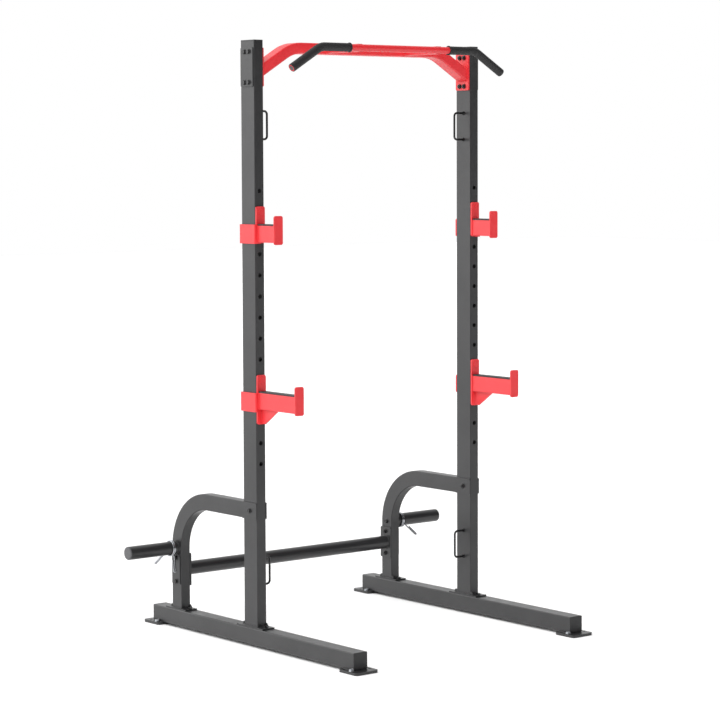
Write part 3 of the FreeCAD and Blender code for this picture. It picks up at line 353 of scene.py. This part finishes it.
def turned(axis, point, spin=0.0):
    """Matrix that lays local +Z along an axis at a point, after a turn about itself."""
    tilt = Vector((0, 0, 1)).rotation_difference(Vector(axis)).to_matrix().to_4x4()
    return Matrix.Translation(point) @ tilt @ Matrix.Rotation(spin, 4, "Z")


def lathe(bm, rings, place, steps=36, loop=False):
    """Surface through rings of (radius, height); either may be a function of the angle."""
    def value(item, angle):
        return item(angle) if callable(item) else item
    rows = []
    for radius, height in rings:
        row = []
        for k in range(steps):
            a = 2 * math.pi * k / steps
            r = value(radius, a)
            spot = Vector((r * math.cos(a), r * math.sin(a), value(height, a)))
            row.append(bm.verts.new(place @ spot))
        rows.append(row)
    skin(bm, rows, loop)


def skin(bm, rows, loop):
    """Faces between rows of points, closed into a ring or capped at both ends."""
    for lower, upper in zip(rows, rows[1:] + rows[:1] if loop else rows[1:]):
        for k in range(len(lower)):
            n = (k + 1) % len(lower)
            bm.faces.new((lower[k], lower[n], upper[n], upper[k]))
    if not loop:
        bm.faces.new(rows[0][::-1])
        bm.faces.new(rows[-1])


def islands(name):
    """(lowest, highest) corners of each separate solid of a CAD node."""
    bm = bmesh.new()
    bm.from_mesh(NODES[name].data)
    bmesh.ops.remove_doubles(bm, verts=bm.verts, dist=2e-6)
    found, seen = [], set()
    for start in bm.verts:
        if start in seen:
            continue
        seen.add(start)
        heap, points = [start], []
        while heap:
            vert = heap.pop()
            points.append(vert.co.copy())
            for edge in vert.link_edges:
                other = edge.other_vert(vert)
                if other not in seen:
                    seen.add(other)
                    heap.append(other)
        found.append(tuple(Vector([f(p[i] for p in points) for i in range(3)]) for f in (min, max)))
    bm.free()
    return found


# ---- fasteners -------------------------------------------------------------------------------

def hexagon(flat):
    """Radius of a hexagon as a function of the angle."""
    return lambda a: flat / math.cos((a + math.pi / 6) % (math.pi / 3) - math.pi / 6)


def crowned(flat, height):
    """Height of the 30 degree chamfer that cuts the hexagon's corners."""
    corner = hexagon(flat)
    return lambda a: height - 0.58 * (corner(a) - flat * 0.985)


def hex_rings(base, height, flange, flat):
    """Rings of a flanged hexagon from its seat to the edge of its flat top."""
    return [(flange * 0.96, base), (flange, base + 0.0004), (flange * 0.985, base + 0.0012),
            (lambda a: hexagon(flat)(a) * 1.05, base + 0.0019), (hexagon(flat), base + 0.0023),
            (hexagon(flat), lambda a: base + crowned(flat, height)(a)),
            (flat * 0.95, base + height)]


def thread_rings(start, end, radius):
    """Rings of a helical thread between two heights."""
    def ring(z):
        def wave(a):
            phase = (z / PITCH - a / (2 * math.pi)) % 1.0
            return radius - THREAD_DEPTH * (1 - abs(2 * phase - 1))
        return (wave, z)
    count = max(2, round((end - start) / (PITCH / 4)))
    return [ring(start + (end - start) * k / count) for k in range(count + 1)]


def screw(bm, place, length, thread, flange=FLANGE, flat=FLAT):
    """Flanged hexagon screw: its seat at height 0, head above, shank below."""
    tip = -length
    rings = [(SHANK * 0.72, tip), (SHANK * 0.9, tip + 0.0006)]
    rings += thread_rings(tip + 0.001, tip + thread, SHANK - 0.0001)
    rings += [(SHANK * 0.98, tip + thread + 0.0006), (SHANK, tip + thread + 0.001), (SHANK, 0)]
    rings += hex_rings(0, HEAD, flange, flat)
    rings += [(flat * 0.8, HEAD), (flat * 0.72, HEAD - 0.0005)]
    lathe(bm, rings, place)


def nut(bm, place, height, bore, flange, flat):
    """Flanged nut with a countersunk bore."""
    rings = hex_rings(0, height, flange, flat)
    rings += [(bore * 1.12, height), (bore, height - 0.0006), (bore, 0.0006), (bore * 1.1, 0)]
    lathe(bm, rings, place, loop=True)


def washer(bm, place, height, bore, radius):
    """Flat washer with eased rims."""
    edge = height * 0.25
    rings = [(bore, 0), (radius - edge, 0), (radius, edge), (radius, height - edge),
             (radius - edge, height), (bore, height)]
    lathe(bm, rings, place, loop=True)


def fasteners(name, head_way, thread=0.012):
    """Detailed bolts, nuts and washers in place of a CAD group of them, heads facing head_way.

    The solids of the group are told apart by their length along the axis: washers are the
    shortest, nuts are as high as a head, and the rest are bolts.
    """
    bm = bmesh.new()
    way = Vector(head_way)
    i = max(range(3), key=lambda k: abs(way[k]))
    for low, high in islands(name):
        middle, length = (low + high) / 2, high[i] - low[i]
        turn = random.uniform(0, math.pi / 3)
        if length < 0.003:
            base = middle - way * length / 2
            washer(bm, turned(way, base), length, SHANK + 0.0001, (high - low)[(i + 1) % 3] / 2)
        elif length < HEAD + 0.0006:
            radius = min((high - low)[k] for k in range(3) if k != i) / 2
            sizes = SMALL_NUT if radius < 0.0075 else (SHANK + 0.0001, FLANGE, FLAT)
            base = middle + way * length / 2
            nut(bm, turned(-way, base, turn), length, *sizes)
        else:
            seat = middle + way * (length / 2 - HEAD)
            screw(bm, turned(way, seat, turn), length - HEAD, min(thread, length - HEAD - 0.004))
    return new_piece(f"{name}_detail", bm, BODY_OF[name], SLOT_OF[name], name, sharp=24)


# ---- welds -----------------------------------------------------------------------------------

def rounded_loop(centre, across, up, corner=CORNER):
    """Points of a rounded rectangle round a centre, with its two half sizes as vectors."""
    a, b = Vector(across), Vector(up)
    w, h = a.length, b.length
    ua, ub = a.normalized(), b.normalized()
    points = []
    for k, (sa, sb) in enumerate(((1, -1), (1, 1), (-1, 1), (-1, -1))):
        for j in range(5):
            angle = (k - 1 + j / 4) * math.pi / 2
            x = sa * (w - corner) + corner * math.cos(angle)
            y = sb * (h - corner) + corner * math.sin(angle)
            points.append(Vector(centre) + ua * x + ub * y)
    return points


def circle_loop(centre, radius, axis):
    """Points of a circle round an axis."""
    place = turned(axis, centre)
    return [place @ Vector((radius * math.cos(a), radius * math.sin(a), 0))
            for a in (2 * math.pi * k / 48 for k in range(48))]


def bead(bm, points, closed=True, size=0.0024):
    """Weld bead along a line of points: an uneven, rippled roll of metal."""
    line = [Vector(p) for p in points]
    if closed:
        line.append(line[0])
    stations, travelled = [], 0.0
    for a, b in zip(line, line[1:]):
        run, heading = (b - a).length, (b - a).normalized()
        count = max(1, round(run / (RIPPLE / 3)))
        for k in range(count):
            stations.append((a.lerp(b, k / count), heading, travelled + run * k / count))
        travelled += run
    if not closed:
        stations.append((line[-1], (line[-1] - line[-2]).normalized(), travelled))
    rows = []
    for point, heading, along in stations:
        wave = 1 + 0.14 * math.sin(2 * math.pi * along / RIPPLE) + random.uniform(-0.05, 0.05)
        if not closed:
            wave *= min(1.0, 0.45 + min(along, travelled - along) / 0.006)
        side = heading.orthogonal().normalized()
        other = heading.cross(side)
        place = [point + (side * math.cos(a) + other * math.sin(a)) * size * wave
                 for a in (math.pi / 4 * k for k in range(8))]
        rows.append([bm.verts.new(p) for p in place])
    pairs = list(zip(rows, rows[1:])) + ([(rows[-1], rows[0])] if closed else [])
    for lower, upper in pairs:
        shift = min(range(8), key=lambda s: sum((lower[k].co - upper[(k + s) % 8].co).length
                                                for k in range(8)))
        for k in range(8):
            bm.faces.new((lower[k], lower[(k + 1) % 8],
                          upper[(k + 1 + shift) % 8], upper[(k + shift) % 8]))
    if not closed:
        bm.faces.new(rows[0][::-1])
        bm.faces.new(rows[-1])


# ---- the rack's own pieces -------------------------------------------------------------------

def on_outer_face(name, axis, way):
    """Test for the edges that lie in a node's outermost plane along an axis."""
    plane = outermost(name, axis, way)
    return lambda e: all(abs(v.co[axis] - plane) < 1e-5 for v in e.verts)


def caps(side):
    """Moulded end caps with a rounded outer rim."""
    for end, way in ENDS:
        name = f"{side}_rail_{end}_cap"
        refined(name, 0.0014, on_outer_face(name, 1, way), 3)
    name = f"{side}_upright_cap"
    refined(name, 0.0016, on_outer_face(name, 2, 1), 3)
    refined(f"{side}_peg_cap")


def steel(side):
    """Tubes, plates, welded hooks, clip and band loops; the backing plates have eased edges."""
    for name in ("crossbar_plate", "top_plate"):
        refined(f"{side}_{name}", 0.0005)
    for name in ("j_hook", "spotter_arm", "rear_support", "base_rail", "upright", "plate_peg",
                 "spring_clip"):
        refined(f"{side}_{name}")
    for name in ("high_band_loop", "low_band_loop"):
        refined(f"{side}_{name}").data.materials[0] = LOOP_COAT


def bolts(side, sx):
    """All bolts, nuts and washers of one side, with the way that their heads face."""
    out, inward, up = (sx, 0, 0), (-sx, 0, 0), (0, 0, 1)
    for name, way in (("yoke_bolt", out), ("crossbar_bolts", out), ("top_bolts", out),
                      ("peg_bolt", inward), ("upright_base_bolts", up), ("post_base_bolts", up),
                      ("anchor_bolts", up), ("band_loop_nuts", out)):
        fasteners(f"{side}_{name}", way)


def column_welds(side, sx):
    """Beads round the feet of both columns, along the rail's foot plates and round the yoke."""
    bm = bmesh.new()
    x = sx * ACROSS
    plate_top = outermost(f"{side}_upright", 2, -1) + BASE_THICK
    for name, (w, d) in (("upright_cap", UPRIGHT), ("post_base_bolts", POST)):
        y = centre_of(f"{side}_{name}").y
        bead(bm, rounded_loop((x, y, plate_top), (w, 0, 0), (0, d, 0)))
    length, thick = FOOT
    for end, way in ENDS:
        inner = way * (outermost(f"{side}_base_rail", 1, 1) - length + 0.004)
        outer = outermost(f"{side}_rail_{end}_cap", 1, way) - way * 0.006
        for edge in (-1, 1):
            beside = x + edge * RAIL / 2
            bead(bm, [(beside, inner, thick), (beside, outer, thick)], closed=False, size=0.0028)
    yoke_y = outermost(f"{side}_upright_cap", 1, 1) + YOKE
    yoke_z = centre_of(f"{side}_yoke_bolt").z
    w, h = POST[0] - 0.001, POST[1] - 0.001
    bead(bm, rounded_loop((x, yoke_y, yoke_z), (w, 0, 0), (0, 0, h)), size=0.002)
    new_piece(f"{side}_column_welds", bm, "frame", "black_powder_coat")


def hook_welds(side, sx, hook):
    """Beads round both ends of a hook's arm, round its pin's head and along its gusset."""
    bm = bmesh.new()
    x = sx * ACROSS
    pad_low, pad_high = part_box(f"{side}_{hook}_pad")
    low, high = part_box(f"{side}_{hook}")
    top = pad_high.z - LINER
    front, end = pad_high.y + 0.0005, pad_low.y - 0.0005
    for y in (front, end):
        bead(bm, rounded_loop((x, y, top - ARM[1]), (ARM[0], 0, 0), (0, 0, ARM[1])), size=0.002)
    face = outermost(f"{side}_upright_cap", 1, -1) - HOOK_GAP - PLATE
    bead(bm, circle_loop((x, face, high.z - ABOVE_PIN), PIN_HEAD + 0.0003, (0, 1, 0)), size=0.0017)
    if hook == "spotter_arm":
        under = top - 2 * ARM[1]
        length, thick = GUSSET
        for edge in (-1, 1):
            beside = x + edge * thick / 2
            for run in (((beside, front - 0.003, under), (beside, front - length, under)),
                        ((beside, front, under - 0.003), (beside, front, low.z + 0.006))):
                bead(bm, run, closed=False, size=0.002)
    new_piece(f"{side}_{hook}_welds", bm, BODY_OF[f"{side}_{hook}"], "red_powder_coat")


def liner(side, hook):
    """Polyethylene strip with rounded edges and two countersunk screws."""
    node = f"{side}_{hook}_pad"
    low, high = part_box(node)
    top, base = high.z, high.z - LINER
    bm = bmesh.new()
    for v in bmesh.ops.create_cube(bm, size=1)["verts"]:
        v.co = (low.x if v.co.x < 0 else high.x, low.y if v.co.y < 0 else high.y,
                base if v.co.z < 0 else top)
    edges = [e for e in bm.edges if all(abs(v.co.z - top) < 1e-6 for v in e.verts)]
    edges += [e for e in bm.edges if abs(e.verts[0].co.z - e.verts[1].co.z) > 1e-4]
    ease(bm, edges, 0.0014, 3)
    new_piece(f"{side}_{hook}_liner", bm, BODY_OF[node], "black_liner", node)
    screws = bmesh.new()
    socket = hexagon(0.0016)
    for share in (0.22, 0.78):
        spot = ((low.x + high.x) / 2, high.y - (high.y - low.y) * share, top - 0.0022)
        lathe(screws, [(0.0032, 0), (0.0046, 0.0022), (0.0045, 0.0026), (0.0030, 0.0029),
                       (0.0023, 0.0028), (socket, 0.0026), (socket, 0.0012)],
              turned((0, 0, 1), spot, random.uniform(0, 1)))
    new_piece(f"{side}_{hook}_screws", screws, BODY_OF[node], "black_hardware")


def ring_welds():
    """Beads round the crossbar's ends, the pegs' roots, the beam's ends and the stand-offs."""
    black, red = bmesh.new(), bmesh.new()
    tube = centre_of("rear_crossbar")
    tube_x = outermost("rear_crossbar", 0, 1) - END_PLATE
    root_x = ACROSS + POST[0] + PEG_ROOT[1]
    peg_z = centre_of("left_peg_bolt").z
    beam_x, beam_y = outermost("pull_up_beam", 0, 1) - END_PLATE, centre_of("pull_up_beam").y
    beam_z = BEAM_Z - (beam_x - BEAM_BEND_X) * math.tan(SLOPE)
    depth, height = BEAM[0], BEAM[1] / math.cos(SLOPE)
    w, h = STAND_OFF
    for _, sx in SIDES:
        bead(black, circle_loop((sx * tube_x, tube.y, tube.z), CROSSBAR, (1, 0, 0)), size=0.0026)
        bead(black, circle_loop((sx * root_x, tube.y, peg_z), PEG_ROOT[0], (1, 0, 0)), size=0.0022)
        bead(red, rounded_loop((sx * beam_x, beam_y, beam_z), (0, depth, 0), (0, 0, height),
                               BEAM_CORNER), size=0.0024)
        bead(red, rounded_loop((sx * STAND_OFF_X, beam_y - depth, BAR_Z), (w, 0, 0), (0, 0, h)),
             size=0.0022)
    new_piece("crossbar_and_peg_welds", black, "frame", "black_powder_coat")
    new_piece("pull_up_welds", red, "frame", "red_powder_coat")


def bar_axis(along):
    """Point on the right half of the bar at a distance from its middle, and its slope there."""
    if along < BAR_STRAIGHT:
        return Vector((along, 0, 0)), 0.0
    turn = min(along - BAR_STRAIGHT, BAR_ARC) / BAR_BEND
    point = Vector((BAR_STRAIGHT + BAR_BEND * math.sin(turn), 0,
                    -BAR_BEND * (1 - math.cos(turn))))
    rest = max(0.0, along - BAR_STRAIGHT - BAR_ARC)
    return point + Vector((math.cos(turn), 0, -math.sin(turn))) * rest, turn


def grip_stations(start, end):
    """Distances along the bar with the sleeve's radius: out over its skin and back inside."""
    inside, ribs, back = BAR_R + 0.0002, 170, 40
    stations = [(start, inside), (start, COLLAR_R - 0.0012), (start + 0.0006, COLLAR_R - 0.0003),
                (start + 0.0014, COLLAR_R), (start + 0.0030, COLLAR_R),
                (start + 0.0037, COLLAR_R - 0.0006), (start + 0.0042, GRIP_R - 0.0004),
                (start + 0.0052, GRIP_R - 0.0002)]
    for k in range(ribs + 1):
        along = start + 0.0070 + (end - 0.0035 - start - 0.0070) * k / ribs
        ripple = 0.00018 * math.sin(along * 2 * math.pi / 0.0075) - 0.0002
        stations.append((along, GRIP_R + ripple))
    stations += [(end - 0.0016, GRIP_R - 0.0004), (end - 0.0005, GRIP_R - 0.0012),
                 (end, GRIP_R - 0.0026), (end, inside)]
    return stations + [(end + (start - end) * k / back, inside) for k in range(1, back)]


def grip(side, sx):
    """Foam sleeve: rolled collar, faint moulded ribs and a softly rounded end."""
    steps = 40
    rows = []
    bm = bmesh.new()
    for along, radius in grip_stations(outermost("right_grip", 0, -1), BAR_LENGTH):
        point, turn = bar_axis(along)
        up = Vector((math.sin(turn), 0, math.cos(turn)))
        row = []
        for j in range(steps):
            a = 2 * math.pi * j / steps
            spot = point + up * radius * math.cos(a) + Vector((0, 1, 0)) * radius * math.sin(a)
            row.append(bm.verts.new((sx * spot.x, BAR_Y + spot.y, BAR_Z + spot.z)))
        rows.append(row)
    skin(bm, rows, True)
    new_piece(f"{side}_grip_sleeve", bm, "frame", "black_grip", f"{side}_grip", sharp=50)


def plug(side, sx):
    """Domed plug with a shallow ring groove in the bar's open end."""
    point, turn = bar_axis(BAR_LENGTH)
    way = Vector((sx * math.cos(turn), 0, -math.sin(turn)))
    mouth = Vector((sx * point.x, BAR_Y, BAR_Z + point.z))
    r = PLUG_R
    bm = bmesh.new()
    lathe(bm, [(r - 0.0006, -0.013), (r, -0.012), (r, -0.0008), (r * 0.94, -0.0003),
               (r * 0.78, -0.0001), (r * 0.70, -0.0005), (r * 0.60, -0.0005), (r * 0.52, 0.0),
               (r * 0.2, 0.0001)], turned(way, mouth))
    new_piece(f"{side}_bar_end_plug", bm, "frame", "grey_plastic", f"{side}_bar_plug")


random.seed(11)
for side, sx in SIDES:
    caps(side)
    steel(side)
    bolts(side, sx)
    column_welds(side, sx)
    for hook in ("j_hook", "spotter_arm"):
        hook_welds(side, sx, hook)
        liner(side, hook)
    grip(side, sx)
    plug(side, sx)
ring_welds()
for name in ("pull_up_beam", "pull_up_bar", "rear_crossbar"):
    refined(name)


# ---- floor, light and camera -----------------------------------------------------------------

def floor():
    """Plain white floor, 60 m square."""
    size = 30.0
    corners = [(-size, -size, 0), (size, -size, 0), (size, size, 0), (-size, size, 0)]
    mesh = bpy.data.meshes.new("floor")
    mesh.from_pydata(corners, [], [(0, 1, 2, 3)])
    mesh.materials.append(painted_floor())
    add_object("floor", mesh)


def key_light():
    """Very wide, soft light from the front left that gives no mirror image of itself."""
    data = bpy.data.lights.new("sun", "SUN")
    data.energy = 2.2
    data.angle = math.radians(50)
    obj = add_object("sun", data)
    obj.rotation_euler = Vector((0.50, 0.66, -0.80)).to_track_quat("-Z", "Y").to_euler()
    obj.visible_glossy = False


DARK_SIDE = (0.25, -0.97, 0.05)      # direction of the studio's unlit wall, in front
BRIGHT_SIDE = (-0.60, 0.78, 0.18)    # direction of its large lamp, rear left


def studio():
    """White studio with a large lamp at the rear left and an unlit wall in front, plain white
    where the camera sees it directly."""
    world = bpy.data.worlds.new("studio")
    scene.world = world
    world.use_nodes = True
    tree = world.node_tree
    direction = tree.nodes.new("ShaderNodeTexCoord").outputs["Generated"]

    def sector(centre, start, end, inside):
        """Brightness that goes from 1 to another value towards a direction."""
        dot = tree.nodes.new("ShaderNodeVectorMath")
        dot.operation = "DOT_PRODUCT"
        dot.inputs[1].default_value = Vector(centre).normalized()
        tree.links.new(direction, dot.inputs[0])
        ramp = tree.nodes.new("ShaderNodeMapRange")
        ramp.interpolation_type = "SMOOTHSTEP"
        for socket, number in (("From Min", start), ("From Max", end), ("To Min", 1.0),
                               ("To Max", inside)):
            ramp.inputs[socket].default_value = number
        tree.links.new(dot.outputs["Value"], ramp.inputs["Value"])
        return ramp.outputs["Result"]

    both = tree.nodes.new("ShaderNodeMath")
    both.operation = "MULTIPLY"
    tree.links.new(sector(DARK_SIDE, 0.0, 0.6, 0.06), both.inputs[0])
    tree.links.new(sector(BRIGHT_SIDE, 0.45, 0.85, 2.4), both.inputs[1])
    seen = tree.nodes.new("ShaderNodeMix")
    path = tree.nodes.new("ShaderNodeLightPath")
    tree.links.new(path.outputs["Is Camera Ray"], seen.inputs["Factor"])
    tree.links.new(both.outputs["Value"], seen.inputs[2])
    seen.inputs[3].default_value = 1.0
    sky = tree.nodes["Background"]
    sky.inputs["Color"].default_value = (1, 1, 1, 1)
    tree.links.new(seen.outputs[0], sky.inputs["Strength"])


def camera():
    """Long lens from the front left, at about eye height."""
    data = bpy.data.cameras.new("camera")
    obj = add_object("camera", data)
    obj.location = (-5.7141, -7.0463, 1.7665)
    yaw, pitch, roll = (math.radians(a) for a in (-38.956, -3.794, -0.211))
    obj.rotation_euler = (Matrix.Rotation(yaw, 4, "Z")
                          @ Matrix.Rotation(math.pi / 2 + pitch, 4, "X")
                          @ Matrix.Rotation(roll, 4, "Z")).to_euler()
    data.sensor_width = 36.0
    data.lens = 122.775
    data.shift_y = -0.06
    data.clip_end = 100
    scene.camera = obj


floor()
studio()
key_light()
camera()
scene.view_settings.view_transform = "Standard"
scene.view_settings.look = "None"
